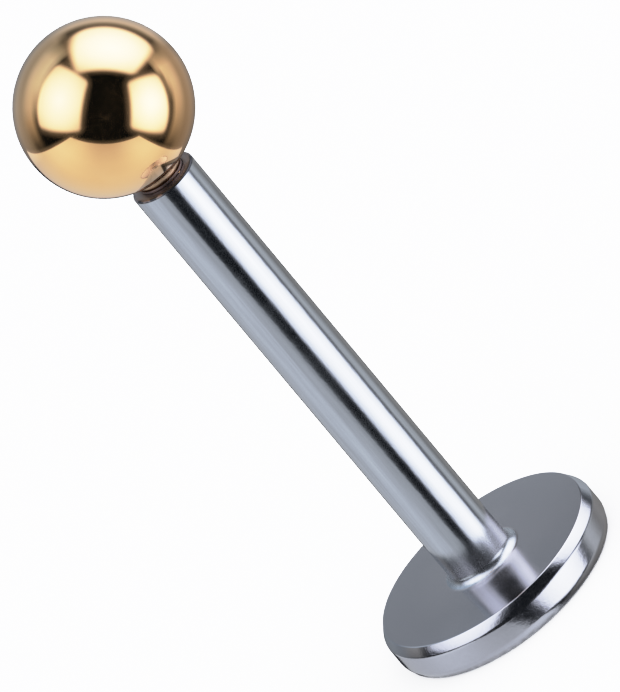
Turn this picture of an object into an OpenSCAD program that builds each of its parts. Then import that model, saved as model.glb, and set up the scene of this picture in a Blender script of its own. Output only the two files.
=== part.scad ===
// Labret stud: a steel post with a flat round disc at one end, and a ball that screws into the other end.
// Sizes are in millimetres. The stud stands on the back of its disc: the origin is the middle of that face,
// and +Z runs up the middle of the bar.

/* [Disc] */
// Widest diameter of the disc, at the foot of its front bevel
disc_d = 5.7; // [4.5:0.1:7]
// Thickness of the disc, from its back to its front face
disc_t = 0.92; // [0.75:0.01:1.4]
// How far the front bevel comes in over the front face
front_bevel_w = 0.15; // [0.05:0.01:0.3]
// How far the front bevel comes down the wall
front_bevel_h = 0.23; // [0.05:0.01:0.3]
// How far the back bevel comes in under the disc
back_bevel_w = 0.08; // [0.03:0.01:0.3]
// How far the back bevel comes up the wall
back_bevel_h = 0.2; // [0.05:0.01:0.3]

/* [Bar] */
// Diameter of the bar, 14 gauge
bar_d = 1.6; // [1.5:0.1:2.4]
// Length of the bar, from the disc's front face to its own end face
bar_l = 12; // [6:0.1:16]
// Radius of the weld fillet where the bar meets the disc
foot_fillet = 0.22; // [0.05:0.01:0.4]
// Chamfer round the end of the bar
end_chamfer = 0.03; // [0.02:0.01:0.12]

/* [Ball] */
// Diameter of the ball
ball_d = 4; // [3:0.1:6]
// Height of the collar that shows between the bar and the ball
collar_h = 0.21; // [0.05:0.01:0.4]
// How far the collar's rim reaches out over the edge of the bar's hole
collar_lip = 0.03; // [0.03:0.01:0.08]

/* [Thread] */
// Outer diameter of the ball's threaded pin
pin_d = 1; // [0.8:0.05:1.1]
// Length of the pin below its collar
pin_l = 2.4; // [1.5:0.1:3.5]
// Chamfer at the tip of the pin
pin_chamfer = 0.15; // [0.05:0.01:0.25]
// Running clearance between the pin and its hole, on the radius
pin_clearance = 0.03; // [0.02:0.01:0.05]
// Depth of the hole past the tip of the pin
hole_spare = 0.5; // [0.2:0.1:1]
// Gap between the collar and the bar's end face when the ball is screwed home
seat_gap = 0.01; // [0.01:0.01:0.03]

/* [Hidden] */
// Segments of every round form in a preview
$fn = 96;
// Depth by which one section runs into the next, so that they join
lap = 0.05;

disc_r = disc_d / 2;
face_r = disc_r - front_bevel_w;
back_r = disc_r - back_bevel_w;

bar_r = bar_d / 2;
bar_top = disc_t + bar_l;

hole_r = pin_d / 2 + pin_clearance;
hole_depth = pin_l + hole_spare;

collar_r = hole_r + collar_lip;
collar_z = bar_top + seat_gap;
ball_r = ball_d / 2;
// The ball's surface meets the collar's rim at the top of the collar
ball_z = collar_z + collar_h + sqrt(ball_r * ball_r - collar_r * collar_r);

steel = [0.72, 0.74, 0.78];
gold = [0.87, 0.66, 0.33];

// Half section of the disc: flat back, back bevel, upright wall, front bevel, flat face
module disc_section() {
    polygon([
        [0, 0],
        [back_r, 0],
        [disc_r, back_bevel_h],
        [disc_r, disc_t - front_bevel_h],
        [face_r, disc_t],
        [0, disc_t]
    ]);
}

// Half section of the bar, with the chamfer at its end
module bar_section() {
    polygon([
        [0, disc_t - lap],
        [bar_r, disc_t - lap],
        [bar_r, bar_top - end_chamfer],
        [bar_r - end_chamfer, bar_top],
        [0, bar_top]
    ]);
}

// Half section of the weld fillet: a square corner, less the round that leaves it hollow
module fillet_section() {
    difference() {
        translate([bar_r - lap, disc_t - lap])
            square(foot_fillet + lap);
        translate([bar_r + foot_fillet, disc_t + foot_fillet])
            circle(r = foot_fillet);
    }
}

// Half section of the blind hole that takes the pin, open at the bar's end
module hole_section() {
    translate([0, bar_top - hole_depth])
        square([hole_r, hole_depth + lap]);
}

// Disc, weld and bar as one piece of steel
module post() {
    color(steel)
        rotate_extrude()
            difference() {
                union() {
                    disc_section();
                    bar_section();
                    fillet_section();
                }
                hole_section();
            }
}

// Ball, collar and pin, turned from one piece
module ball() {
    color(gold)
        union() {
            translate([0, 0, ball_z])
                sphere(r = ball_r);
            translate([0, 0, collar_z])
                cylinder(r = collar_r, h = ball_z - collar_z);
            translate([0, 0, collar_z - pin_l + pin_chamfer])
                cylinder(r = pin_d / 2, h = pin_l - pin_chamfer + lap);
            translate([0, 0, collar_z - pin_l])
                cylinder(r1 = pin_d / 2 - pin_chamfer, r2 = pin_d / 2, h = pin_chamfer);
        }
}

post();
ball();
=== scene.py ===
# %% [markdown]
# # A labret stud
# The stud is a steel post with a flat disc welded to its foot, and a gold-coloured ball that screws into
# its other end. This lesson dresses the engineering model of that stud: the exact solids come in as a fixed
# frame, and every visible surface is modelled again finely enough to reflect a light tent without a facet
# showing.

# %% Load the frame
import math

import bpy
from mathutils import Matrix, Vector


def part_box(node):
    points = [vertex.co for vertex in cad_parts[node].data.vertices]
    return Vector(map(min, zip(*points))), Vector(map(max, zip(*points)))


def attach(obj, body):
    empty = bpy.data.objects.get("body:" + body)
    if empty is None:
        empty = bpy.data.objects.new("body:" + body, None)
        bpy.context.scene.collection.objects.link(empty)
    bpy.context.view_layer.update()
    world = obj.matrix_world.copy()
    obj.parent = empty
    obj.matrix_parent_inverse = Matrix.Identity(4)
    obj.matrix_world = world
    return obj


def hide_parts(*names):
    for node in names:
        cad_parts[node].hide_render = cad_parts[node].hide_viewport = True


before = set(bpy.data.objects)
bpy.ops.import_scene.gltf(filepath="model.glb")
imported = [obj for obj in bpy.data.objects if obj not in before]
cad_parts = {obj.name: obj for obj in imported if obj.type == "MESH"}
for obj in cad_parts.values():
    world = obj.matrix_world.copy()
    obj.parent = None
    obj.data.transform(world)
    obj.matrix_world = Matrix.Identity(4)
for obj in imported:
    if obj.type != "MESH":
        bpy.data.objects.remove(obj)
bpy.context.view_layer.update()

# %% [markdown]
# ## Sizes
# The whole stud is 17 mm tall, and Blender's unit is the metre. Many edit-mode tools merge or clamp at a
# tenth of a millimetre, which is a coarse step here. So each piece is modelled at one unit to the
# millimetre, and shrunk to its real size at the very end. The frame gives the outer sizes, and the finer
# ones are the maker's own.

# %% Sizes in millimetres
MM = 0.001

post_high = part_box("post")[1] / MM
ball_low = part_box("ball")[0] / MM
ball_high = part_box("ball")[1] / MM

disc_radius = post_high.x
bar_top = post_high.z
pin_tip = ball_low.z
ball_top = ball_high.z

disc_thickness = 0.92
front_bevel_width = 0.15
front_bevel_depth = 0.23
back_bevel_width = 0.08
back_bevel_height = 0.2
bar_radius = 0.8
end_chamfer = 0.03
weld_radius = 0.22
ball_radius = 2.0
collar_lip = 0.03
seat_gap = 0.01
pin_radius = 0.5
pin_clearance = 0.03
hole_spare = 0.5

face_radius = disc_radius - front_bevel_width
hole_radius = pin_radius + pin_clearance
collar_radius = hole_radius + collar_lip
ball_middle = ball_top - ball_radius
print(f"disc {2 * disc_radius:.2f} mm, bar top at {bar_top:.2f} mm, ball middle at {ball_middle:.2f} mm")

# %% [markdown]
# ## A lathe
# Post and ball are turned parts in the workshop, and they are turned here too. Half of the section is drawn
# as a chain of points, each extruded from the last, as a turner's drawing gives them. A stack of scaled
# rings would give the same surface, but the chain keeps every edge where the drawing has it.

# %% Draw the section
SAME_PLACE = 1e-4


def start_fresh():
    """Nothing is selected and no edit is open, so that the next operator acts on new work alone."""
    if bpy.context.object and bpy.context.object.mode != "OBJECT":
        bpy.ops.object.mode_set(mode="OBJECT")
    bpy.ops.object.select_all(action="DESELECT")


def chain_of_points(name, points):
    """A chain of edges through (radius, height) points, made by extruding one vertex."""
    start_fresh()
    bpy.ops.mesh.primitive_plane_add(size=1)
    piece = bpy.context.object
    piece.name = name
    bpy.ops.object.mode_set(mode="EDIT")
    bpy.ops.mesh.select_mode(type="VERT")
    bpy.ops.mesh.merge(type="CENTER")
    bpy.ops.mesh.select_all(action="SELECT")
    bpy.ops.transform.translate(value=(points[0][0], 0, points[0][1]))
    for here, there in zip(points, points[1:]):
        step = (there[0] - here[0], 0, there[1] - here[1])
        bpy.ops.mesh.extrude_region_move(TRANSFORM_OT_translate={"value": step})
    bpy.ops.object.mode_set(mode="OBJECT")
    return piece


print("a corner is found to within", SAME_PLACE, "mm")

# %% [markdown]
# ### Soften and spin
# No real edge is perfectly sharp, so the corners are rounded with a vertex bevel, which puts a small arc in
# place of a corner. The chain is then spun once round the upright axis. The spin's first and last copies
# coincide, and so do the points on the axis, so they are merged before the normals are turned outwards.

# %% Soften and spin
LATHE_STEPS = 192
MERGE_GAP = 1e-5


def soften_corner(piece, corner, softness, segments):
    """Round the one corner of the chain that lies at (radius, height)."""
    place = Vector((corner[0], 0, corner[1]))
    bpy.ops.object.mode_set(mode="EDIT")
    bpy.ops.mesh.select_all(action="DESELECT")
    bpy.ops.object.mode_set(mode="OBJECT")
    for vertex in piece.data.vertices:
        vertex.select = (vertex.co - place).length < SAME_PLACE
    bpy.ops.object.mode_set(mode="EDIT")
    bpy.ops.mesh.bevel(offset=softness, segments=segments, affect="VERTICES")
    bpy.ops.object.mode_set(mode="OBJECT")


def spin_round():
    """Spin the active chain once round the upright axis and close it into one skin that faces outwards."""
    bpy.ops.object.mode_set(mode="EDIT")
    bpy.ops.mesh.select_all(action="SELECT")
    bpy.ops.mesh.spin(steps=LATHE_STEPS, angle=2 * math.pi, center=(0, 0, 0), axis=(0, 0, 1))
    bpy.ops.mesh.select_all(action="SELECT")
    bpy.ops.mesh.remove_doubles(threshold=MERGE_GAP)
    bpy.ops.mesh.normals_make_consistent(inside=False)
    bpy.ops.object.mode_set(mode="OBJECT")


def turned(name, points, soft_corners=()):
    """A solid of revolution from a half section. soft_corners holds (corner, softness, segments)."""
    piece = chain_of_points(name, points)
    for corner, softness, segments in soft_corners:
        soften_corner(piece, corner, softness, segments)
    spin_round()
    return piece


print(f"the lathe takes {LATHE_STEPS} steps of {360 / LATHE_STEPS} degrees")

# %% [markdown]
# ### Shrink to size
# A finished piece goes from the bench's millimetres to real metres. It is shaded smooth except across sharp
# edges, and the Weighted Normal modifier leans each normal towards the larger faces beside it, so that the
# disc's flat face mirrors as a flat.

# %% Shrink to size
SMOOTH_BELOW_DEG = 28


def shrink_to_size(piece):
    """From the bench's millimetres to real metres, with smooth shading that keeps flat faces flat."""
    start_fresh()
    piece.select_set(True)
    bpy.context.view_layer.objects.active = piece
    piece.scale = (MM, MM, MM)
    bpy.ops.object.transform_apply(location=True, rotation=True, scale=True)
    bpy.ops.object.shade_smooth_by_angle(angle=math.radians(SMOOTH_BELOW_DEG))
    flat = piece.modifiers.new("keep_flats_flat", "WEIGHTED_NORMAL")
    flat.keep_sharp = True
    bpy.ops.object.modifier_apply(modifier=flat.name)
    print(f"{piece.name}: {len(piece.data.polygons)} faces, "
          f"{piece.dimensions.x / MM:.2f} by {piece.dimensions.z / MM:.2f} mm")


print("faces that meet at less than", SMOOTH_BELOW_DEG, "degrees are shaded as one")

# %% [markdown]
# ## The thread
# A thread is one small tooth carried round and up. The tooth is a short chain of points, one pitch tall,
# and the Screw modifier sweeps it up the axis. Two flat cuts trim the ragged ends, which closes it into a
# solid. The same solid does two jobs, as a screw and as the tap that cuts the matching grooves in the bar's
# hole.

# %% A thread maker
THREAD_STEPS = 48
thread_pitch = 0.25
thread_depth = 0.11
flank_start = 0.14 * thread_pitch
crest_low = 0.5 * thread_pitch
crest_high = 0.64 * thread_pitch


def cut_flat(height, keep_above):
    """Cut the mesh being edited at a height, drop one side and close the cut."""
    bpy.ops.mesh.select_all(action="SELECT")
    bpy.ops.mesh.bisect(plane_co=(0, 0, height), plane_no=(0, 0, 1), use_fill=True,
                        clear_inner=keep_above, clear_outer=not keep_above)


def threaded_rod(name, crest_radius, low, high):
    """A closed rod with a thread on it, from one height to another."""
    root_radius = crest_radius - thread_depth
    tooth = [(root_radius, 0), (root_radius, flank_start), (crest_radius, crest_low),
             (crest_radius, crest_high), (root_radius, thread_pitch)]
    rod = chain_of_points(name, [(radius, low - thread_pitch + height) for radius, height in tooth])
    sweep = rod.modifiers.new("sweep", "SCREW")
    sweep.axis = "Z"
    sweep.screw_offset = thread_pitch
    sweep.iterations = math.ceil((high - low) / thread_pitch) + 2
    sweep.steps = THREAD_STEPS
    sweep.render_steps = THREAD_STEPS
    bpy.ops.object.modifier_apply(modifier=sweep.name)
    bpy.ops.object.mode_set(mode="EDIT")
    bpy.ops.mesh.select_all(action="SELECT")
    bpy.ops.mesh.remove_doubles(threshold=MERGE_GAP)
    cut_flat(low, keep_above=True)
    cut_flat(high, keep_above=False)
    bpy.ops.mesh.select_all(action="SELECT")
    bpy.ops.mesh.normals_make_consistent(inside=False)
    bpy.ops.object.mode_set(mode="OBJECT")
    return rod


print(f"thread: pitch {thread_pitch} mm, depth {thread_depth} mm")

# %% [markdown]
# ### Combine two solids
# A Boolean modifier cuts one closed mesh with another. It can leave edges of no length and faces of many
# sides, which leave gaps in an exported mesh. So near points are merged, many-sided faces are split into
# well-shaped triangles, and what has no area is dissolved.

# %% Combine two solids
def drop_slivers():
    """Merge and dissolve what a boolean has cut too fine in the active mesh."""
    bpy.ops.object.mode_set(mode="EDIT")
    bpy.ops.mesh.select_all(action="SELECT")
    bpy.ops.mesh.remove_doubles(threshold=SAME_PLACE)
    bpy.ops.mesh.dissolve_degenerate(threshold=SAME_PLACE)
    bpy.ops.mesh.select_all(action="DESELECT")
    bpy.ops.mesh.select_mode(type="FACE")
    bpy.ops.mesh.select_face_by_sides(number=4, type="GREATER")
    bpy.ops.mesh.quads_convert_to_tris(quad_method="BEAUTY", ngon_method="BEAUTY")
    bpy.ops.mesh.select_all(action="SELECT")
    bpy.ops.mesh.dissolve_degenerate(threshold=SAME_PLACE)
    bpy.ops.mesh.select_mode(type="VERT")
    bpy.ops.object.mode_set(mode="OBJECT")


def combine(piece, tool, operation):
    """Apply a boolean of the tool to the piece and throw the tool away."""
    start_fresh()
    piece.select_set(True)
    bpy.context.view_layer.objects.active = piece
    change = piece.modifiers.new(operation.lower(), "BOOLEAN")
    change.operation = operation
    change.solver = "EXACT"
    change.object = tool
    bpy.ops.object.modifier_apply(modifier=change.name)
    bpy.data.objects.remove(tool)
    drop_slivers()


print("after a boolean, points closer than", SAME_PLACE, "mm are merged")

# %% [markdown]
# ## The post
# On the real stud the bar is pressed into the disc and welded, then the whole post is polished. So this is
# one skin: the disc's flat back, a small bevel, the upright wall, the bright bevel round the front face,
# the face, the weld's hollow fillet, the bar, and the chamfer round the hole at its end.

# %% Turn the post
edge_softness = 0.022
rim_softness = 0.045
end_softness = 0.6 * end_chamfer
hole_floor = pin_tip - hole_spare
mouth_chamfer = 0.015
hole_mouth_radius = hole_radius + mouth_chamfer

back_radius = disc_radius - back_bevel_width
wall_foot = (disc_radius, back_bevel_height)
wall_head = (disc_radius, disc_thickness - front_bevel_depth)
face_edge = (face_radius, disc_thickness)
weld_corner = (bar_radius, disc_thickness)
bar_end = (bar_radius, bar_top - end_chamfer)
end_face_edge = (bar_radius - end_chamfer, bar_top)

post_outline = [
    (0, 0), (back_radius, 0), wall_foot, wall_head, face_edge, weld_corner, bar_end, end_face_edge,
    (hole_mouth_radius, bar_top), (hole_radius, bar_top - mouth_chamfer), (hole_radius, hole_floor),
    (0, hole_floor),
]
post_corners = [
    ((back_radius, 0), edge_softness, 4),
    (wall_foot, rim_softness, 5),
    (wall_head, rim_softness, 5),
    (face_edge, edge_softness, 4),
    (weld_corner, weld_radius, 14),
    (bar_end, end_softness, 3),
    (end_face_edge, end_softness, 3),
]
steel_post = turned("steel_post", post_outline, post_corners)
print(f"the hole is {bar_top - hole_floor:.2f} mm deep")

# %% [markdown]
# ### Tap the hole
# The hole takes the ball's pin, so it has an inner thread. A workshop cuts it with a tap, a hardened screw,
# and so does this: a threaded rod a little wider than the hole is taken away from the post. It ends one
# pitch above the hole's floor, as a real tap can't cut all the way down.

# %% Tap the hole
tap_bite = 0.05
tap = threaded_rod("tap", hole_radius + tap_bite, hole_floor + thread_pitch, bar_top + thread_pitch)
combine(steel_post, tap, "DIFFERENCE")
shrink_to_size(steel_post)

# %% [markdown]
# ## The ball
# The ball is a polished sphere with a narrow collar below it, turned from one rod. A UV sphere would need a
# hole cut for the collar, so the lathe draws both in one chain: the seat, the collar with the fine groove
# that the turner leaves above its foot, the small hollow where the collar runs into the ball, and then the
# long arc of the ball up to its top. The mirror finish shows every facet, so the arc has a point about
# every two degrees. The hollow touches both collar and ball, so its middle lies one hollow's radius outside
# each, and Pythagoras gives its height.

# %% Turn the ball
def arc(middle, radius, from_deg, to_deg, count):
    """Points of an arc in the half section; 0 degrees points outwards and 90 up."""
    angles = [math.radians(from_deg + (to_deg - from_deg) * i / count) for i in range(count + 1)]
    return [(middle[0] + radius * math.cos(a), middle[1] + radius * math.sin(a)) for a in angles]


foot_height = 0.065
groove_height = 0.05
groove_depth = 0.04
groove_slope = 0.012
join_radius = 0.1
foot_softness = 0.2 * edge_softness

collar_foot = bar_top + seat_gap
groove_low = collar_foot + foot_height
groove_high = groove_low + groove_height
groove_radius = collar_radius - groove_depth
join_out = collar_radius + join_radius
join_reach = ball_radius + join_radius
join_middle = (join_out, ball_middle - math.sqrt(join_reach ** 2 - join_out ** 2))
join_angle = math.degrees(math.acos(join_out / join_reach))
join_arc = arc(join_middle, join_radius, 180, 180 - join_angle, 10)
ball_arc = arc((0, ball_middle), ball_radius, -join_angle, 90, 88)
ball_arc[-1] = (0, ball_top)
ball_outline = [
    (0, collar_foot), (collar_radius, collar_foot), (collar_radius, groove_low),
    (groove_radius, groove_low + groove_slope), (groove_radius, groove_high - groove_slope),
    (collar_radius, groove_high),
] + join_arc[:-1] + ball_arc
gold_ball = turned("gold_ball", ball_outline, [((collar_radius, collar_foot), foot_softness, 2)])
shrink_to_size(gold_ball)

# %% [markdown]
# ## The threaded pin
# The pin is hidden in the bar until the ball is unscrewed. A plain blank is turned first, with a thin neck
# under the collar and a chamfer at the tip, and the thread is then cut on it: what the rod and the blank
# share is kept. The rod's crests stand a hair proud of the blank, which trims them round, because a boolean
# leaves slivers where two surfaces coincide.

# %% Cut the pin
tip_chamfer = 0.15
neck_length = 0.22
root_in_ball = 0.05
crest_trim = 0.01
screw_past_tip = 0.01
screw_past_collar = 0.1

neck_radius = pin_radius - thread_depth
neck_low = collar_foot - neck_length
pin_root = collar_foot + root_in_ball
gold_pin = turned("gold_pin", [
    (0, pin_tip),
    (pin_radius - tip_chamfer, pin_tip),
    (pin_radius, pin_tip + tip_chamfer),
    (pin_radius, neck_low),
    (neck_radius, neck_low + thread_depth),
    (neck_radius, pin_root),
    (0, pin_root),
])
screw = threaded_rod(
    "screw", pin_radius + crest_trim, pin_tip - screw_past_tip, collar_foot + screw_past_collar)
combine(gold_pin, screw, "INTERSECT")
shrink_to_size(gold_pin)

# %% [markdown]
# ## Shared effects
# The same few marks show on every polished metal: fine lines left by the polishing wheel or the lathe,
# hairline scratches, a faint haze from handling, and edges rubbed a little brighter. Each is a node group
# with named inputs, built once and placed in each material with its own values. A few helpers come first:
# each adds a node, feeds it and hands back what comes out.

# %% Group and math helpers
def new_group(name, inputs, outputs):
    """An empty shader group with its sockets. inputs and outputs hold (name, kind, value)."""
    group = bpy.data.node_groups.new(name, "ShaderNodeTree")
    for socket_name, kind, value in inputs:
        socket = group.interface.new_socket(socket_name, in_out="INPUT", socket_type=kind)
        if value is not None:
            socket.default_value = value
    for socket_name, kind in outputs:
        group.interface.new_socket(socket_name, in_out="OUTPUT", socket_type=kind)
    return group, group.nodes.new("NodeGroupInput"), group.nodes.new("NodeGroupOutput")


def give(tree, socket, value):
    """Link a node's input to another socket or set it to a number; None leaves it as it is."""
    if isinstance(value, bpy.types.NodeSocket):
        tree.links.new(value, socket)
    elif value is not None:
        socket.default_value = value


def math_node(tree, operation, first, second=None):
    """A math node whose inputs are sockets or numbers; returns its output."""
    node = tree.nodes.new("ShaderNodeMath")
    node.operation = operation
    give(tree, node.inputs[0], first)
    give(tree, node.inputs[1], second)
    return node.outputs[0]


def length_of_two(tree, first, second):
    """The long side of a right triangle, from its two short sides."""
    squares = math_node(tree, "ADD", math_node(tree, "POWER", first, 2.0),
                        math_node(tree, "POWER", second, 2.0))
    return math_node(tree, "SQRT", squares)


print("node groups so far:", len(bpy.data.node_groups))


# %% Texture and mapping helpers
def noise_node(tree, vector, scale, detail=2.0, roughness=0.5):
    """A noise texture's value on a vector; the scale is a socket or a number."""
    node = tree.nodes.new("ShaderNodeTexNoise")
    node.inputs["Detail"].default_value = detail
    node.inputs["Roughness"].default_value = roughness
    tree.links.new(vector, node.inputs["Vector"])
    give(tree, node.inputs["Scale"], scale)
    return node.outputs["Fac"]


def map_range(tree, value, low, high, to_low, to_high, smooth=False):
    """Carry a value from one range to another, clamped."""
    node = tree.nodes.new("ShaderNodeMapRange")
    node.interpolation_type = "SMOOTHSTEP" if smooth else "LINEAR"
    tree.links.new(value, node.inputs["Value"])
    for socket_name, number in (
            ("From Min", low), ("From Max", high), ("To Min", to_low), ("To Max", to_high)):
        give(tree, node.inputs[socket_name], number)
    return node.outputs["Result"]


def scaled_vector(tree, vector, scale, turn_deg=(0, 0, 0)):
    """A vector stretched by three numbers and turned by three angles."""
    node = tree.nodes.new("ShaderNodeMapping")
    node.inputs["Rotation"].default_value = [math.radians(angle) for angle in turn_deg]
    node.inputs["Scale"].default_value = scale
    tree.links.new(vector, node.inputs["Vector"])
    return node.outputs["Vector"]


def around_axis(tree, vector):
    """(distance from the upright axis, height) of a point, as two sockets."""
    parts = tree.nodes.new("ShaderNodeSeparateXYZ")
    tree.links.new(vector, parts.inputs[0])
    return length_of_two(tree, parts.outputs["X"], parts.outputs["Y"]), parts.outputs["Z"]


print("patterns are worked out in the piece's own millimetres")

# %% [markdown]
# ### Lines left by the wheel and by the lathe
# A wheel run along the bar leaves lines much longer than they are wide. Noise gives them once its space is
# squeezed along the axis, and unlike a picture it has no seam. A lathe leaves rings instead, so the second
# group reads its noise at the distance from the axis and the height alone.

# %% Polishing lines, along the bar
line_squeeze = (1.0, 1.0, 0.03)

long_grain, group_in, group_out = new_group(
    "lengthwise_grain",
    [("Millimetres", "NodeSocketVector", None), ("Fineness", "NodeSocketFloat", 12.0)],
    [("Lines", "NodeSocketFloat")])
stretched = scaled_vector(long_grain, group_in.outputs["Millimetres"], line_squeeze)
long_grain.links.new(noise_node(long_grain, stretched, group_in.outputs["Fineness"], 4.0, 0.6),
                     group_out.inputs["Lines"])
print(f"lines are {line_squeeze[0] / line_squeeze[2]:.0f} times as long as wide")

# %% Turning lines, round the axis
turned_rings, group_in, group_out = new_group(
    "turned_rings",
    [("Millimetres", "NodeSocketVector", None), ("Fineness", "NodeSocketFloat", 20.0)],
    [("Lines", "NodeSocketFloat")])
ring_radius, ring_height = around_axis(turned_rings, group_in.outputs["Millimetres"])
ring_place = turned_rings.nodes.new("ShaderNodeCombineXYZ")
turned_rings.links.new(ring_radius, ring_place.inputs["X"])
turned_rings.links.new(ring_height, ring_place.inputs["Z"])
ring_noise = noise_node(turned_rings, ring_place.outputs[0], group_in.outputs["Fineness"], 3.0, 0.6)
turned_rings.links.new(ring_noise, group_out.inputs["Lines"])
print("turned rings:", len(turned_rings.nodes), "nodes")

# %% [markdown]
# ### Scratches, haze and wear
# Noise crosses its middle value along thin winding lines, and those are the scratches: three copies, each
# turned another way, cross as marks from handling do. Haze is large soft noise that leaves most of the
# surface clear. Every edge here is a circle round the axis, so wear needs only its radius and height.

# %% Hairline scratches
scratch_turns_deg = ((20, 0, 35), (0, 70, -15), (50, 30, 80))
scratch_squeeze = (1.0, 0.12, 1.0)
noise_middle = 0.5

hairlines, group_in, group_out = new_group(
    "hairline_scratches",
    [("Millimetres", "NodeSocketVector", None), ("Fineness", "NodeSocketFloat", 3.0),
     ("Width", "NodeSocketFloat", 0.01)],
    [("Scratches", "NodeSocketFloat")])
marks = []
for turn_deg in scratch_turns_deg:
    turned_vector = scaled_vector(hairlines, group_in.outputs["Millimetres"], scratch_squeeze, turn_deg)
    level = noise_node(hairlines, turned_vector, group_in.outputs["Fineness"], 1.0)
    off_line = math_node(hairlines, "ABSOLUTE", math_node(hairlines, "SUBTRACT", level, noise_middle))
    marks.append(map_range(hairlines, off_line, 0.0, group_in.outputs["Width"], 1.0, 0.0))
all_marks = math_node(hairlines, "MAXIMUM", math_node(hairlines, "MAXIMUM", marks[0], marks[1]), marks[2])
hairlines.links.new(all_marks, group_out.inputs["Scratches"])
print("scratches run", len(marks), "ways")

# %% Haze from handling
clear_below, hazy_above = 0.42, 0.66

handling, group_in, group_out = new_group(
    "handling_haze",
    [("Millimetres", "NodeSocketVector", None), ("Size", "NodeSocketFloat", 0.8)],
    [("Haze", "NodeSocketFloat")])
cloud = noise_node(handling, group_in.outputs["Millimetres"], group_in.outputs["Size"], 3.0, 0.55)
handling.links.new(map_range(handling, cloud, clear_below, hazy_above, 0.0, 1.0, smooth=True),
                   group_out.inputs["Haze"])
print("haze starts where its noise is above", clear_below)

# %% Worn edges, and the band of painted shade at the disc's foot
# The same band marks worn edges. In the edge steel it also places the painted shade at the disc's foot.
edge_wear_and_shade, group_in, group_out = new_group(
    "edge_wear_and_shade",
    [("Millimetres", "NodeSocketVector", None), ("Edge Radius", "NodeSocketFloat", 1.0),
     ("Edge Height", "NodeSocketFloat", 0.0), ("Width", "NodeSocketFloat", 0.08)],
    [("Wear and Shade", "NodeSocketFloat")])
here_radius, here_height = around_axis(edge_wear_and_shade, group_in.outputs["Millimetres"])
off_radius = math_node(edge_wear_and_shade, "SUBTRACT", here_radius, group_in.outputs["Edge Radius"])
off_height = math_node(edge_wear_and_shade, "SUBTRACT", here_height, group_in.outputs["Edge Height"])
distance = length_of_two(edge_wear_and_shade, off_radius, off_height)
near_edge = map_range(edge_wear_and_shade, distance, 0.0, group_in.outputs["Width"], 1.0, 0.0, smooth=True)
spots = noise_node(edge_wear_and_shade, group_in.outputs["Millimetres"], 5.0, 3.0)
patches = map_range(edge_wear_and_shade, spots, 0.3, 0.6, 0.2, 1.0)
edge_wear_and_shade.links.new(math_node(edge_wear_and_shade, "MULTIPLY", near_edge, patches), group_out.inputs["Wear and Shade"])
print("shared effects:", [group.name for group in bpy.data.node_groups])

# %% [markdown]
# ## Metals
# A metal's colour is the tint of its reflections, so the Base Color is the whole of it. The polished steel
# here reflects about half of the light, and its gold-coloured coating nearly all the red and a third of the
# blue. The finish is in the roughness and in a very shallow bump, both driven by the shared effects.

# %% Metal makers
def new_metal(name):
    """A fully metallic material, its node tree, and the piece's own coordinates in millimetres."""
    material = bpy.data.materials.new(name)
    material.use_nodes = True
    tree = material.node_tree
    tree.nodes["Principled BSDF"].inputs["Metallic"].default_value = 1.0
    coordinates = tree.nodes.new("ShaderNodeTexCoord")
    in_mm = scaled_vector(tree, coordinates.outputs["Object"], (1 / MM, 1 / MM, 1 / MM))
    return material, tree, in_mm


def place_group(tree, group, in_mm, **values):
    """A shared effect with its own values; underscores in a value's name stand for spaces."""
    node = tree.nodes.new("ShaderNodeGroup")
    node.node_tree = group
    tree.links.new(in_mm, node.inputs["Millimetres"])
    for key, value in values.items():
        node.inputs[key.replace("_", " ")].default_value = value
    return node.outputs[0]


def weighted_sum(tree, base, *terms):
    """base plus each (socket, weight)."""
    total = base
    for socket, weight in terms:
        total = math_node(tree, "ADD", math_node(tree, "MULTIPLY", socket, weight), total)
    return total


def mixed_colour(tree, mask, first, second, blend="MIX"):
    """One colour fading into another by a mask. Colours are sockets or (red, green, blue)."""
    node = tree.nodes.new("ShaderNodeMix")
    node.data_type = "RGBA"
    node.blend_type = blend
    give(tree, node.inputs["Factor"], mask)
    for socket_name, colour in (("A", first), ("B", second)):
        give(tree, node.inputs[socket_name], (*colour, 1) if isinstance(colour, tuple) else colour)
    return node.outputs["Result"]


def finish_metal(material, colour, roughness, relief, relief_mm):
    """Feed the material's shader; a relief of 1 is relief_mm high."""
    tree = material.node_tree
    shader = tree.nodes["Principled BSDF"]
    bump = tree.nodes.new("ShaderNodeBump")
    bump.inputs["Strength"].default_value = 1.0
    bump.inputs["Distance"].default_value = relief_mm * MM
    tree.links.new(relief, bump.inputs["Height"])
    tree.links.new(colour, shader.inputs["Base Color"])
    tree.links.new(roughness, shader.inputs["Roughness"])
    tree.links.new(bump.outputs["Normal"], shader.inputs["Normal"])
    print(f"{material.name}: {len(tree.nodes)} nodes, relief {relief_mm} mm")


print("a finish is a colour, a roughness and a relief")

# %% [markdown]
# ### The steels
# The bar was polished along its length, and the wheel couldn't reach its foot, which stays duller and has
# rings. The disc's face was turned, and the weld left it duller round the bar. Its wall and bevels were
# tumbled, which leaves a ripple. The disc's back edge is rougher and also darker, and the darkness is painted
# shade where it meets the floor. The bar's end is dull and smudged, with painted shade browning it under the
# collar and a painted dark reflection near its rim. Bands by height or by distance from the axis place all
# this, so no picture is drawn.

# %% Steel of the bar
steel_light = (0.445, 0.478, 0.525)
steel_dark = (0.36, 0.388, 0.43)
wave_squeeze = (1.0, 1.0, 0.35)
foot_from, foot_to = disc_thickness + 0.3, disc_thickness + 1.5

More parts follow.
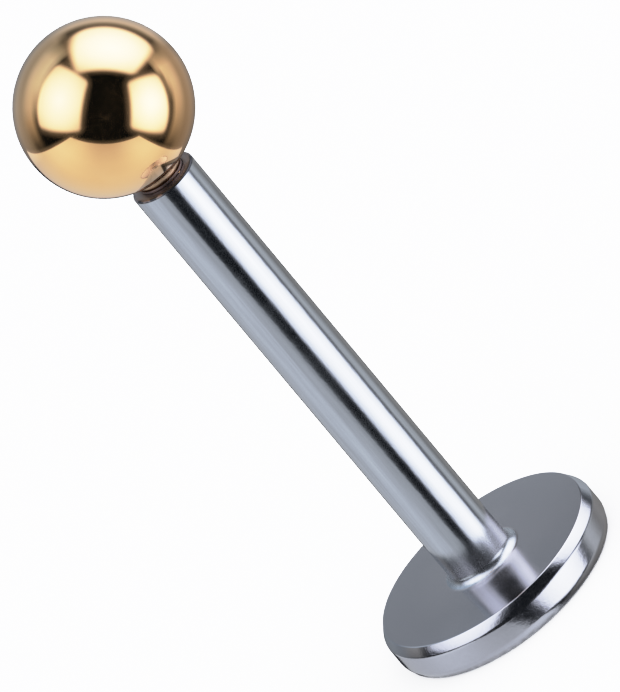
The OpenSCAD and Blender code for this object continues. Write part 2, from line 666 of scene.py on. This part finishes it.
bar_steel, tree, in_mm = new_metal("bar_steel")
lines = place_group(tree, long_grain, in_mm, Fineness=9.0)
fine_lines = place_group(tree, long_grain, in_mm, Fineness=50.0)
waviness = noise_node(tree, scaled_vector(tree, in_mm, wave_squeeze), 5.0, 3.0, 0.6)
foot_rings = place_group(tree, turned_rings, in_mm, Fineness=40.0)
scratches = place_group(tree, hairlines, in_mm, Fineness=2.0, Width=0.006)
haze = place_group(tree, handling, in_mm, Size=0.7)
height_here = around_axis(tree, in_mm)[1]
near_foot = map_range(tree, height_here, foot_from, foot_to, 1.0, 0.0, smooth=True)
rings_at_foot = math_node(tree, "MULTIPLY", foot_rings, near_foot)
streaks = map_range(tree, lines, 0.3, 0.7, 0.0, 1.0)
finish_metal(
    bar_steel, mixed_colour(tree, streaks, steel_dark, steel_light),
    weighted_sum(tree, 0.08, (lines, 0.05), (scratches, 0.04), (haze, 0.04), (near_foot, 0.14)),
    weighted_sum(tree, 0.0, (waviness, 1.0), (lines, 0.25), (fine_lines, 0.06), (rings_at_foot, 0.2)),
    relief_mm=0.0024)

# %% Steel of the disc's face, duller round the weld
face_light = (0.50, 0.475, 0.495)
face_dark = (0.455, 0.433, 0.452)
dull_from, dull_to = bar_radius + 0.3, bar_radius + 1.3

face_steel, tree, in_mm = new_metal("face_steel")
rings = place_group(tree, turned_rings, in_mm, Fineness=24.0)
scratches = place_group(tree, hairlines, in_mm, Fineness=1.6, Width=0.004)
haze = place_group(tree, handling, in_mm, Size=0.5)
wear = place_group(tree, edge_wear_and_shade, in_mm, Edge_Radius=face_radius, Edge_Height=disc_thickness, Width=0.12)
from_axis = around_axis(tree, in_mm)[0]
near_weld = map_range(tree, from_axis, dull_from, dull_to, 1.0, 0.0, smooth=True)
finish_metal(
    face_steel, mixed_colour(tree, rings, face_dark, face_light),
    weighted_sum(
        tree, 0.10, (rings, 0.04), (scratches, 0.03), (haze, 0.05), (wear, -0.03), (near_weld, 0.08)),
    weighted_sum(tree, 0.0, (rings, 0.5), (haze, 0.2)), relief_mm=0.0002)

# %% Steel of the disc's edge and back, with painted shade at its foot
edge_light = (0.45, 0.465, 0.515)
edge_dark = (0.41, 0.425, 0.47)
# The darkest colour below darkens the disc's back edge where it meets the floor, and that darkness is painted
# shade. The extra roughness there is a real unpolished edge.
foot_shade_dark = (0.16, 0.165, 0.18)

edge_steel, tree, in_mm = new_metal("edge_steel")
rings = place_group(tree, turned_rings, in_mm, Fineness=30.0)
ripple = noise_node(tree, in_mm, 9.0, 4.0, 0.65)
scratches = place_group(tree, hairlines, in_mm, Fineness=3.0, Width=0.008)
worn_head = place_group(tree, edge_wear_and_shade, in_mm, Edge_Radius=disc_radius, Edge_Height=wall_head[1], Width=0.05)
dull_shaded_foot = place_group(tree, edge_wear_and_shade, in_mm, Edge_Radius=back_radius, Edge_Height=0.0, Width=0.16)
even_steel = mixed_colour(tree, ripple, edge_dark, edge_light)
finish_metal(
    edge_steel, mixed_colour(tree, dull_shaded_foot, even_steel, foot_shade_dark),
    weighted_sum(tree, 0.08, (rings, 0.03), (scratches, 0.04), (worn_head, 0.06), (dull_shaded_foot, 0.2)),
    weighted_sum(tree, 0.0, (ripple, 1.0), (rings, 0.1), (scratches, -0.1)), relief_mm=0.0022)

# %% Steel of the bar's end, dull, with painted shade under the collar and a painted dark reflection at its rim
seat_grey = (0.33, 0.295, 0.30)
seat_shade_brown = (0.17, 0.12, 0.10)
rim_painted_dark = (0.05, 0.053, 0.062)
shade_reach = 0.12
rim_from, rim_to = bar_radius - 0.08, bar_radius - 0.03

seat_steel, tree, in_mm = new_metal("seat_steel")
rings = place_group(tree, turned_rings, in_mm, Fineness=40.0)
smudges = place_group(tree, handling, in_mm, Size=3.0)
from_axis = around_axis(tree, in_mm)[0]
# The brown under the collar is painted shade in the crevice between ball and bar. The fainter brown smudges
# further out are real handling marks.
shade_under_collar = map_range(tree, from_axis, collar_radius, collar_radius + shade_reach, 0.8, 0.0, smooth=True)
shade_and_smudges = math_node(tree, "MAXIMUM", shade_under_collar, math_node(tree, "MULTIPLY", smudges, 0.5))
# The dark patches near the rim are a painted dark reflection.
near_rim = map_range(tree, from_axis, rim_from, rim_to, 0.0, 1.0, smooth=True)
rim_patches = map_range(tree, noise_node(tree, in_mm, 4.0, 2.0), 0.42, 0.52, 0.1, 1.0, smooth=True)
face_of_seat = mixed_colour(tree, shade_and_smudges, seat_grey, seat_shade_brown)
painted_dark_at_rim = math_node(tree, "MULTIPLY", near_rim, rim_patches)
finish_metal(
    seat_steel, mixed_colour(tree, painted_dark_at_rim, face_of_seat, rim_painted_dark),
    weighted_sum(tree, 0.26, (rings, 0.1), (smudges, 0.06)), rings, relief_mm=0.0006)

# %% [markdown]
# ### The golds
# The ball is polished to a mirror, and its coating looks paler where it is seen edge on: Layer Weight says
# how far the surface is turned from the eye. The collar is too narrow for the polishing wheel, so it stays
# duller. Its colour is darker than the ball's, partly from that duller finish and partly as painted shade
# at the neck, and its groove is painted dark brown as shade. The pin's crests rub in the hole and lose some
# of their coating, and they are simply what lies farthest from the axis.

# %% Gold of the ball
gold_light = (0.955, 0.58, 0.28)
gold_deep = (0.93, 0.548, 0.252)
gold_at_grazing = (0.95, 0.62, 0.355)

ball_gold, tree, in_mm = new_metal("ball_gold")
scratches = place_group(tree, hairlines, in_mm, Fineness=1.3, Width=0.004)
haze = place_group(tree, handling, in_mm, Size=0.45)
facing = tree.nodes.new("ShaderNodeLayerWeight").outputs["Facing"]
grazing = map_range(tree, facing, 0.4, 0.8, 0.0, 1.0)
even_gold = mixed_colour(tree, haze, gold_light, gold_deep)
finish_metal(
    ball_gold, mixed_colour(tree, grazing, even_gold, gold_at_grazing),
    weighted_sum(tree, 0.04, (scratches, 0.05), (haze, 0.02)),
    weighted_sum(tree, 0.0, (haze, 1.0), (scratches, -0.1)), relief_mm=0.0003)

# %% Gold of the collar, with painted shade in its groove, and worn to grey at its foot
# The brown in the groove is painted shade. The tan above it is darker than the ball's gold: it is partly a
# duller turned finish and partly painted shade at the neck.
groove_shade_brown = (0.13, 0.065, 0.035)
collar_tan = (0.60, 0.46, 0.32)

collar_gold, tree, in_mm = new_metal("collar_gold")
rings = place_group(tree, turned_rings, in_mm, Fineness=40.0)
height_here = around_axis(tree, in_mm)[1]
above_groove = map_range(tree, height_here, groove_high - 0.01, groove_high + 0.05, 0.0, 1.0, smooth=True)
foot_ring = map_range(tree, height_here, groove_low - 0.02, groove_low, 0.8, 0.0, smooth=True)
groove_shade_to_tan = mixed_colour(tree, above_groove, groove_shade_brown, collar_tan)
finish_metal(
    collar_gold, mixed_colour(tree, foot_ring, groove_shade_to_tan, seat_grey),
    weighted_sum(tree, 0.3, (rings, 0.1), (above_groove, 0.15)), rings, relief_mm=0.0006)

# %% Gold of the pin, worn to steel on the thread's crests
worn_depth = 0.03

pin_gold, tree, in_mm = new_metal("pin_gold")
from_axis = around_axis(tree, in_mm)[0]
crest = map_range(tree, from_axis, pin_radius - worn_depth, pin_radius, 0.0, 1.0, smooth=True)
patches = map_range(tree, noise_node(tree, in_mm, 6.0, 3.0), 0.35, 0.6, 0.1, 0.8)
worn = math_node(tree, "MULTIPLY", crest, patches)
rings = place_group(tree, turned_rings, in_mm, Fineness=50.0)
finish_metal(
    pin_gold, mixed_colour(tree, worn, gold_deep, steel_light),
    weighted_sum(tree, 0.16, (rings, 0.12), (worn, -0.05)), rings, relief_mm=0.0008)

# %% [markdown]
# ## Dress the pieces
# The post is one skin with four finishes, so each face is given its own by where it lies: on the flat front
# of the disc, on its wall and bevels, on the bar, or on the bar's end. The ball has two, for itself and for
# its collar. Each piece is then handed to the frame, with the body it moves with and the node it stands for.

# %% Where each finish of the post lies
POST_FINISHES = ("bar", "face", "edge", "seat")
FLAT_WITHIN = 0.01
JUST_ABOVE = 0.001
end_reach = 1.7 * end_chamfer


def place_of(face):
    """(distance from the axis, height) of a face's middle, in millimetres."""
    return math.hypot(face.center.x, face.center.y) / MM, face.center.z / MM


def finish_of_post(face):
    """The name of the finish that a face of the post takes."""
    from_axis_mm, height_mm = place_of(face)
    if height_mm > bar_top - end_reach and from_axis_mm > hole_radius:
        return "seat"
    if abs(height_mm - disc_thickness) < FLAT_WITHIN and from_axis_mm < face_radius:
        return "face"
    on_disc = height_mm < disc_thickness + JUST_ABOVE and from_axis_mm > bar_radius + weld_radius
    return "edge" if on_disc or height_mm < 0.5 * disc_thickness else "bar"


print(f"the seat starts {end_reach:.3f} mm below the bar's end")


# %% Give each face its finish
def dress(piece, body, node, slot, *materials):
    """Hand a piece to the frame: its materials, the body it moves with, and the node it stands for."""
    piece.data.materials.clear()
    for material in materials:
        piece.data.materials.append(material)
    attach(piece, body)
    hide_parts(node)


dress(steel_post, "post", "post", "steel", bar_steel, face_steel, edge_steel, seat_steel)
for face in steel_post.data.polygons:
    face.material_index = POST_FINISHES.index(finish_of_post(face))
dress(gold_ball, "ball", "ball", "gold", ball_gold, collar_gold)
for face in gold_ball.data.polygons:
    from_axis_mm, height_mm = place_of(face)
    if from_axis_mm < join_out and height_mm < ball_middle:
        face.material_index = 1
dress(gold_pin, "ball", "ball", "gold", pin_gold)
for index, finish in enumerate(POST_FINISHES):
    print(f"{finish}: {sum(face.material_index == index for face in steel_post.data.polygons)} faces")

# %% [markdown]
# ## The camera
# The photograph looks down on the disc's face at 24 degrees, through a long lens from far away, and is
# turned so that the stud leans to the left. The stud itself stands upright on its disc, so the lean is a
# roll of the camera.

# %% Place the camera
view_elevation = math.radians(23.97)
view_roll = math.radians(39.893)
aim_at = Vector((0.1114, 0, 7.54)) * MM
camera_distance = 0.4
photo_height_px = 692
photo_px_per_mm = 45.541
SENSOR = 36.0

camera_back = Vector((0, -math.cos(view_elevation), math.sin(view_elevation)))
level_right = Vector((1, 0, 0))
level_up = camera_back.cross(level_right)
camera_right = math.cos(view_roll) * level_right - math.sin(view_roll) * level_up
camera_up = math.sin(view_roll) * level_right + math.cos(view_roll) * level_up

camera_data = bpy.data.cameras.new("camera")
camera_data.sensor_width = SENSOR
camera_data.lens = SENSOR * photo_px_per_mm / MM * camera_distance / photo_height_px
camera_data.clip_start = 0.01
camera = bpy.data.objects.new("camera", camera_data)
axes = Matrix((camera_right, camera_up, camera_back)).transposed()
camera.matrix_world = Matrix.Translation(aim_at + camera_back * camera_distance) @ axes.to_4x4()
bpy.context.scene.collection.objects.link(camera)
bpy.context.scene.camera = camera
print(f"lens {camera_data.lens:.0f} mm at {camera_distance} m")

# %% [markdown]
# ## The light tent
# A mirror ball shows the whole studio. Three soft boxes stand round the stud, at the top, left and right of
# the picture, each hotter in its middle, and a pale card lies below. The side of the camera is black cloth,
# which gives the dark heart of the ball and the dark stripe of the bar. Places are in camera axes, in tent
# sizes.

# %% The tent and its ramps
tent_size = 0.3
tent_middle = Vector((0, 0, ball_middle)) * MM


def in_camera_axes(right, up, back):
    """A place or direction given in the picture's own axes."""
    return right * camera_right + up * camera_up + back * camera_back


def ramp(tree, factor, stops):
    """A colour ramp. stops holds (place, grey, blueness); blueness 1 is neutral."""
    node = tree.nodes.new("ShaderNodeValToRGB")
    while len(node.color_ramp.elements) < len(stops):
        node.color_ramp.elements.new(0.5)
    for stop, (place, grey, blueness) in zip(node.color_ramp.elements, stops):
        stop.position = place
        stop.color = (grey, grey * (0.5 + 0.5 * blueness), grey * blueness, 1)
    tree.links.new(factor, node.inputs["Fac"])
    return node.outputs["Color"]


print("the tent's middle is", [round(v / MM, 2) for v in tent_middle], "mm")

# %% [markdown]
# ### The outline of a soft box
# A soft box looks like a rectangle with round soft corners, which seems narrower at its far end and may
# lean. The area light itself is a plain rectangle, so the outline is worked out in its own nodes, from how
# far across and along the light a ray has hit it. A real box also spills a little light round its rim.

# %% The outline
spill = 0.2
spill_share = 0.16


def distance_past(tree, off_middle, half_length, corner_radius):
    """How far a point lies outside the straight part of an outline, along one of its sides."""
    past = math_node(tree, "SUBTRACT", math_node(tree, "ABSOLUTE", off_middle), half_length)
    return math_node(tree, "MAXIMUM", math_node(tree, "ADD", past, corner_radius), 0.0)


def box_outline(tree, across, width, height, head_share, lean, corner_radius, soft_edge):
    """A mask, 1 inside the box and fading round it; its head is narrowed to head_share and moved by lean."""
    parts = tree.nodes.new("ShaderNodeSeparateXYZ")
    tree.links.new(across, parts.inputs[0])
    full_width, full_height = width + 2 * spill, height + 2 * spill
    across_it = map_range(tree, parts.outputs["X"], 0.0, 1.0, -0.5 * full_width, 0.5 * full_width)
    along_it = map_range(tree, parts.outputs["Y"], 0.0, 1.0, -0.5 * full_height, 0.5 * full_height)
    foot, head = -0.5 * height, 0.5 * height
    half_width = map_range(tree, along_it, foot, head, 0.5 * width, 0.5 * width * head_share)
    middle_line = map_range(tree, along_it, foot, head, -0.5 * lean, 0.5 * lean)
    off_middle_line = math_node(tree, "SUBTRACT", across_it, middle_line)
    past_side = distance_past(tree, off_middle_line, half_width, corner_radius)
    past_end = distance_past(tree, along_it, head, corner_radius)
    into_corner = length_of_two(tree, past_side, past_end)
    inner_edge = corner_radius - soft_edge
    inside = map_range(tree, into_corner, inner_edge, corner_radius, 1.0 - spill_share, 0.0, smooth=True)
    spilled = map_range(tree, into_corner, inner_edge, corner_radius + spill, spill_share, 0.0, smooth=True)
    return math_node(tree, "ADD", inside, spilled)


print("a box spills", spill * tent_size / MM, "mm past its rim")

# %% [markdown]
# ### The glow
# The lamp behind the cloth makes a box hotter in its middle. The card has no lamp: it is lit by the boxes,
# so it is brightest where they stand close to it and fades with distance.

# %% The glow of a box and of the card
glow_reach = 0.46
corner_glow = 0.32
card_glow = ((0.0, 0.5), (0.36, 0.70), (0.5, 0.77), (0.63, 0.84), (0.72, 0.88), (0.81, 0.85), (0.89, 0.74),
             (0.97, 0.58))


def hot_in_the_middle(edge_glow, hot_glow):
    """The glow of a lamp behind cloth."""
    def glow(tree, across):
        off_middle = tree.nodes.new("ShaderNodeVectorMath")
        off_middle.operation = "DISTANCE"
        off_middle.inputs[1].default_value = (0.5, 0.5, 0)
        tree.links.new(across, off_middle.inputs[0])
        return map_range(tree, off_middle.outputs["Value"], 0.0, glow_reach, hot_glow, edge_glow)
    return glow


def lit_by_the_boxes(tree, across):
    """The glow of the card, along it and then towards its near corners."""
    parts = tree.nodes.new("ShaderNodeSeparateXYZ")
    tree.links.new(across, parts.inputs[0])
    from_far_end = parts.outputs["Y"]
    lengthways = ramp(tree, from_far_end, [(place, grey, 1) for place, grey in card_glow])
    off_middle = math_node(tree, "ABSOLUTE", math_node(tree, "SUBTRACT", parts.outputs["X"], 0.5))
    beside = map_range(tree, off_middle, 0.02, 0.2, 0.0, 1.0, smooth=True)
    near_end = map_range(tree, from_far_end, 0.6, 0.88, 0.0, corner_glow, smooth=True)
    return math_node(tree, "ADD", lengthways, math_node(tree, "MULTIPLY", beside, near_end))


print("the card is brightest at", max(card_glow, key=lambda stop: stop[1])[0], "of its length")

# %% [markdown]
# ### The lights
# Each box is an area light with its outline and glow in its nodes. The energy of an area light is spread
# over its area and over half a sphere, so pi times the area gives a radiance of 1, which the nodes then
# scale.

# %% A soft box
def soft_box(name, middle, upright, width, height, glow, head_share=1.0, lean=0.0, faces=None,
             corner_radius=0.2, soft_edge=0.18, tint=(0.99, 1.0, 1.1)):
    """A cloth-fronted light that faces the stud, or along faces. Sizes are in tent sizes."""
    light = bpy.data.lights.new(name, "AREA")
    light.shape = "RECTANGLE"
    light.size = (width + 2 * spill) * tent_size
    light.size_y = (height + 2 * spill) * tent_size
    light.energy = math.pi * light.size * light.size_y
    light.color = tint
    light.use_nodes = True
    tree = light.node_tree
    across = tree.nodes.new("ShaderNodeNewGeometry").outputs["Parametric"]
    outline = box_outline(tree, across, width, height, head_share, lean, corner_radius, soft_edge)
    tree.links.new(math_node(tree, "MULTIPLY", glow(tree, across), outline),
                   tree.nodes["Emission"].inputs["Strength"])
    backwards = -in_camera_axes(*faces) if faces else in_camera_axes(*middle)
    z_axis = backwards.normalized()
    x_axis = in_camera_axes(*upright).cross(z_axis).normalized()
    turn = Matrix((x_axis, z_axis.cross(x_axis), z_axis)).transposed()
    box = bpy.data.objects.new(name, light)
    box.matrix_world = Matrix.Translation(tent_middle + tent_size * in_camera_axes(*middle)) @ turn.to_4x4()
    box.visible_camera = False
    bpy.context.scene.collection.objects.link(box)
    print(f"{name}: {light.size:.2f} by {light.size_y:.2f} m")


print("lights so far:", len(bpy.data.lights))

# %% Hang the boxes and lay the card
soft_box("soft_box_top", middle=(0.135, 1.0, 0.165), upright=(0, 0, -1), width=2.1, height=1.79,
         glow=hot_in_the_middle(0.9, 3.8), head_share=0.69, lean=0.17, faces=(0, -1, 0),
         corner_radius=0.36, soft_edge=0.3)
soft_box("soft_box_left", middle=(-0.84, 0.13, 0.533), upright=(0.315, 1.346, 0.145), width=1.50,
         height=1.54, glow=hot_in_the_middle(0.92, 2.9), head_share=0.856, lean=-0.05)
soft_box("soft_box_right", middle=(0.8815, 0.06, 0.468), upright=(-0.11, 1.27, 0.0), width=1.26,
         height=1.33, glow=hot_in_the_middle(0.82, 3.6), head_share=0.87, lean=-0.08)
soft_box("pale_card", middle=(0.07, -1.0, -1.28), upright=(0, 0, 1), width=4.0, height=4.44,
         glow=lit_by_the_boxes, head_share=0.59, faces=(0, 1, 0), corner_radius=0.06, soft_edge=0.05,
         tint=(0.98, 0.995, 1.03))
print("lights hung:", len(bpy.data.lights))

# %% [markdown]
# ## The cloth
# Between and behind the boxes hangs grey cloth, lit by them. It is the world, as reflections see it: a ramp
# by depth, from behind the stud to the black side of the camera, times a ramp round the picture. Ramps need
# no picture file, and can be tuned one stop at a time.

# %% Where a reflection looks
def along(tree, direction, axis):
    """How far a direction goes along an axis, from -1 to 1."""
    node = tree.nodes.new("ShaderNodeVectorMath")
    node.operation = "DOT_PRODUCT"
    node.inputs[1].default_value = axis
    tree.links.new(direction, node.inputs[0])
    return node.outputs["Value"]


def round_ramp(tree, turn_share, stops):
    """A ramp round the picture. stops holds (angle, grey, blueness); 0 degrees is the right, 90 the top."""
    return ramp(tree, turn_share, [((angle + 180) / 360, grey, blueness) for angle, grey, blueness in stops])


world = bpy.data.worlds.new("light_tent")
bpy.context.scene.world = world
world.use_nodes = True
tree = world.node_tree
tree.nodes.clear()
direction = tree.nodes.new("ShaderNodeTexCoord").outputs["Generated"]
depth = map_range(tree, along(tree, direction, camera_back), -1, 1, 0, 1)
upwards, rightwards = along(tree, direction, camera_up), along(tree, direction, camera_right)
turn_angle = math_node(tree, "ARCTAN2", upwards, rightwards)
turn_share = map_range(tree, turn_angle, -math.pi, math.pi, 0, 1)
print("depth 0 is straight behind the stud and depth 1 is the camera")

# %% The cloth by depth and round the picture
by_depth = ramp(tree, depth, [(place, grey, 1) for place, grey in (
    (0.0, 0.25), (0.03, 0.4), (0.1, 0.55), (0.2, 0.5), (0.33, 0.7), (0.44, 0.84), (0.5, 0.6), (0.55, 0.0))])
beside_boxes = round_ramp(tree, turn_share, (
    (-180, 0.88, 1.12), (-168, 0.62, 0.85), (-152, 0.13, 0.9), (-142, 0.0, 1), (-38, 0.0, 1),
    (-30, 0.12, 0.8), (-14, 0.52, 0.85), (5, 0.9, 0.93), (22, 1.1, 0.98), (35, 1.05, 0.98), (48, 0.3, 0.95),
    (110, 0.3, 1.1), (122, 0.2, 1.15), (138, 0.85, 1.3), (160, 1.0, 1.25), (180, 0.88, 1.12)))
behind_boxes = round_ramp(tree, turn_share, (
    (-180, 0.70, 1.15), (-165, 0.64, 1.05), (-148, 0.45, 1.0), (-140, 0.0, 1), (-40, 0.0, 1),
    (-30, 0.45, 0.8), (0, 0.62, 0.85), (35, 0.76, 0.87), (45, 0.66, 0.9), (60, 1.12, 1.05), (90, 1.15, 1.1),
    (112, 1.0, 1.15), (130, 0.68, 1.18), (160, 0.66, 1.2), (180, 0.70, 1.15)))
far_enough = map_range(tree, depth, 0.32, 0.17, 0.0, 1.0, smooth=True)
round_about = mixed_colour(tree, far_enough, beside_boxes, behind_boxes)
cloth = mixed_colour(tree, 1.0, by_depth, round_about, blend="MULTIPLY")
print("cloth ramps:", sum(node.type == "VALTORGB" for node in tree.nodes))

# %% [markdown]
# ### The black gaps
# A thin black gap follows the rim of every box, where its frame stands away from the cloth. It shows in the
# ball as a dark line beside a bright window. Each gap dims the cloth by one ramp across it and one along it.

# %% The black gaps at the rims of the boxes
def outside_gap(tree, depths, angles):
    """A dimmer, 1 in the open and 0 in a gap. depths and angles hold (place, share of the gap there)."""
    across_gap = ramp(tree, depth, [(place, share, 1) for place, share in depths])
    along_gap = round_ramp(tree, turn_share, [(angle, share, 1) for angle, share in angles])
    return math_node(tree, "SUBTRACT", 1.0, math_node(tree, "MULTIPLY", across_gap, along_gap))


beside_the_sides = outside_gap(
    tree, ((0.37, 0), (0.41, 0.5), (0.44, 0.9), (0.47, 0.97)),
    ((-180, 0.55), (-168, 1), (5, 1), (12, 0.8), (20, 0.4), (27, 0.15), (35, 0), (150, 0), (165, 0.1),
     (180, 0.55)))
beside_upper_right = outside_gap(
    tree, ((0.44, 0), (0.47, 0.7), (0.5, 0.85)), ((4, 0), (14, 0.75), (28, 0.8), (38, 0)))
above_the_top = outside_gap(
    tree, ((0.12, 0), (0.145, 0.25), (0.18, 0.65), (0.22, 0.85)), ((45, 0), (55, 1), (116, 1), (126, 0)))
for dimmer in (beside_the_sides, beside_upper_right, above_the_top):
    cloth = mixed_colour(tree, 1.0, cloth, dimmer, blend="MULTIPLY")
print("gaps beside the side boxes and above the top one")

# %% [markdown]
# ### Two worlds in one
# The cloth is meant for mirrors. Light Path picks out the glossy rays, which see the cloth, and every other
# ray sees an even pale room, so that the floor is lit evenly.

# %% The cloth for reflections, an even room for all else
cloth_tint = (0.97, 1.0, 1.03)
black_cloth = (0.0022, 0.004, 0.007)
room_colour = (0.98, 0.99, 1.0, 1)
room_brightness = 2.2

tinted =mixed_colour(tree, 1.0, cloth, cloth_tint, blend="MULTIPLY")
mirrored = tree.nodes.new("ShaderNodeBackground")
tree.links.new(mixed_colour(tree, 1.0, tinted, black_cloth, blend="ADD"), mirrored.inputs["Color"])
room = tree.nodes.new("ShaderNodeBackground")
room.inputs["Color"].default_value = room_colour
room.inputs["Strength"].default_value = room_brightness
ray = tree.nodes.new("ShaderNodeLightPath")
choose = tree.nodes.new("ShaderNodeMixShader")
tree.links.new(ray.outputs["Is Glossy Ray"], choose.inputs[0])
tree.links.new(room.outputs[0], choose.inputs[1])
tree.links.new(mirrored.outputs[0], choose.inputs[2])
tree.links.new(choose.outputs[0], tree.nodes.new("ShaderNodeOutputWorld").inputs["Surface"])
print("world nodes:", len(tree.nodes))

# %% [markdown]
# ## The floor
# The stud stands on a plain pale sheet. Reflections look past the sheet to the card and the boxes below it,
# as they would if it were glass: the photograph's stud hangs free in its tent, with light under it too. The
# sheet lies a hair below the disc, so that the two flat faces don't flicker through each other.

# %% Lay the floor
floor_gap = 0.02
floor_size = 3
floor_colour = (0.72, 0.72, 0.722, 1)

start_fresh()
bpy.ops.mesh.primitive_plane_add(size=floor_size, location=(0, 0, -floor_gap * MM))
floor = bpy.context.object
floor.name = "floor"
floor.visible_glossy = False
floor.visible_shadow = False
pale = bpy.data.materials.new("pale_sheet")
pale.use_nodes = True
pale_shader = pale.node_tree.nodes["Principled BSDF"]
pale_shader.inputs["Base Color"].default_value = floor_colour
pale_shader.inputs["Roughness"].default_value = 0.9
pale_shader.inputs["Specular IOR Level"].default_value = 0.0
floor.data.materials.append(pale)
print(f"the floor lies {floor_gap} mm below the disc")

# %% [markdown]
# ## A soft shoulder
# The brightest reflections are several times as bright as white paper, and a plain view transform would cut
# them off to flat white. Film bends over gently instead, and so does this curve, which leaves all but the
# highlights as they are.

# %% A soft shoulder, as film has
brightest = 4.0

view = bpy.context.scene.view_settings
view.view_transform = "Standard"
view.use_curve_mapping = True
view.curve_mapping.white_level = (brightest, brightest, brightest)
shoulder = view.curve_mapping.curves[3]
film = [(0.0, 0.0), (0.35, 0.35), (0.7, 0.7), (1.0, 0.86), (1.5, 0.94), (2.2, 0.98), (brightest, 1.0)]
while len(shoulder.points) < len(film):
    shoulder.points.new(0.5, 0.5)
for point, (light_in, light_out) in zip(shoulder.points, film):
    point.location = (light_in / brightest, light_out)
view.curve_mapping.update()
print("light in and out:", film)
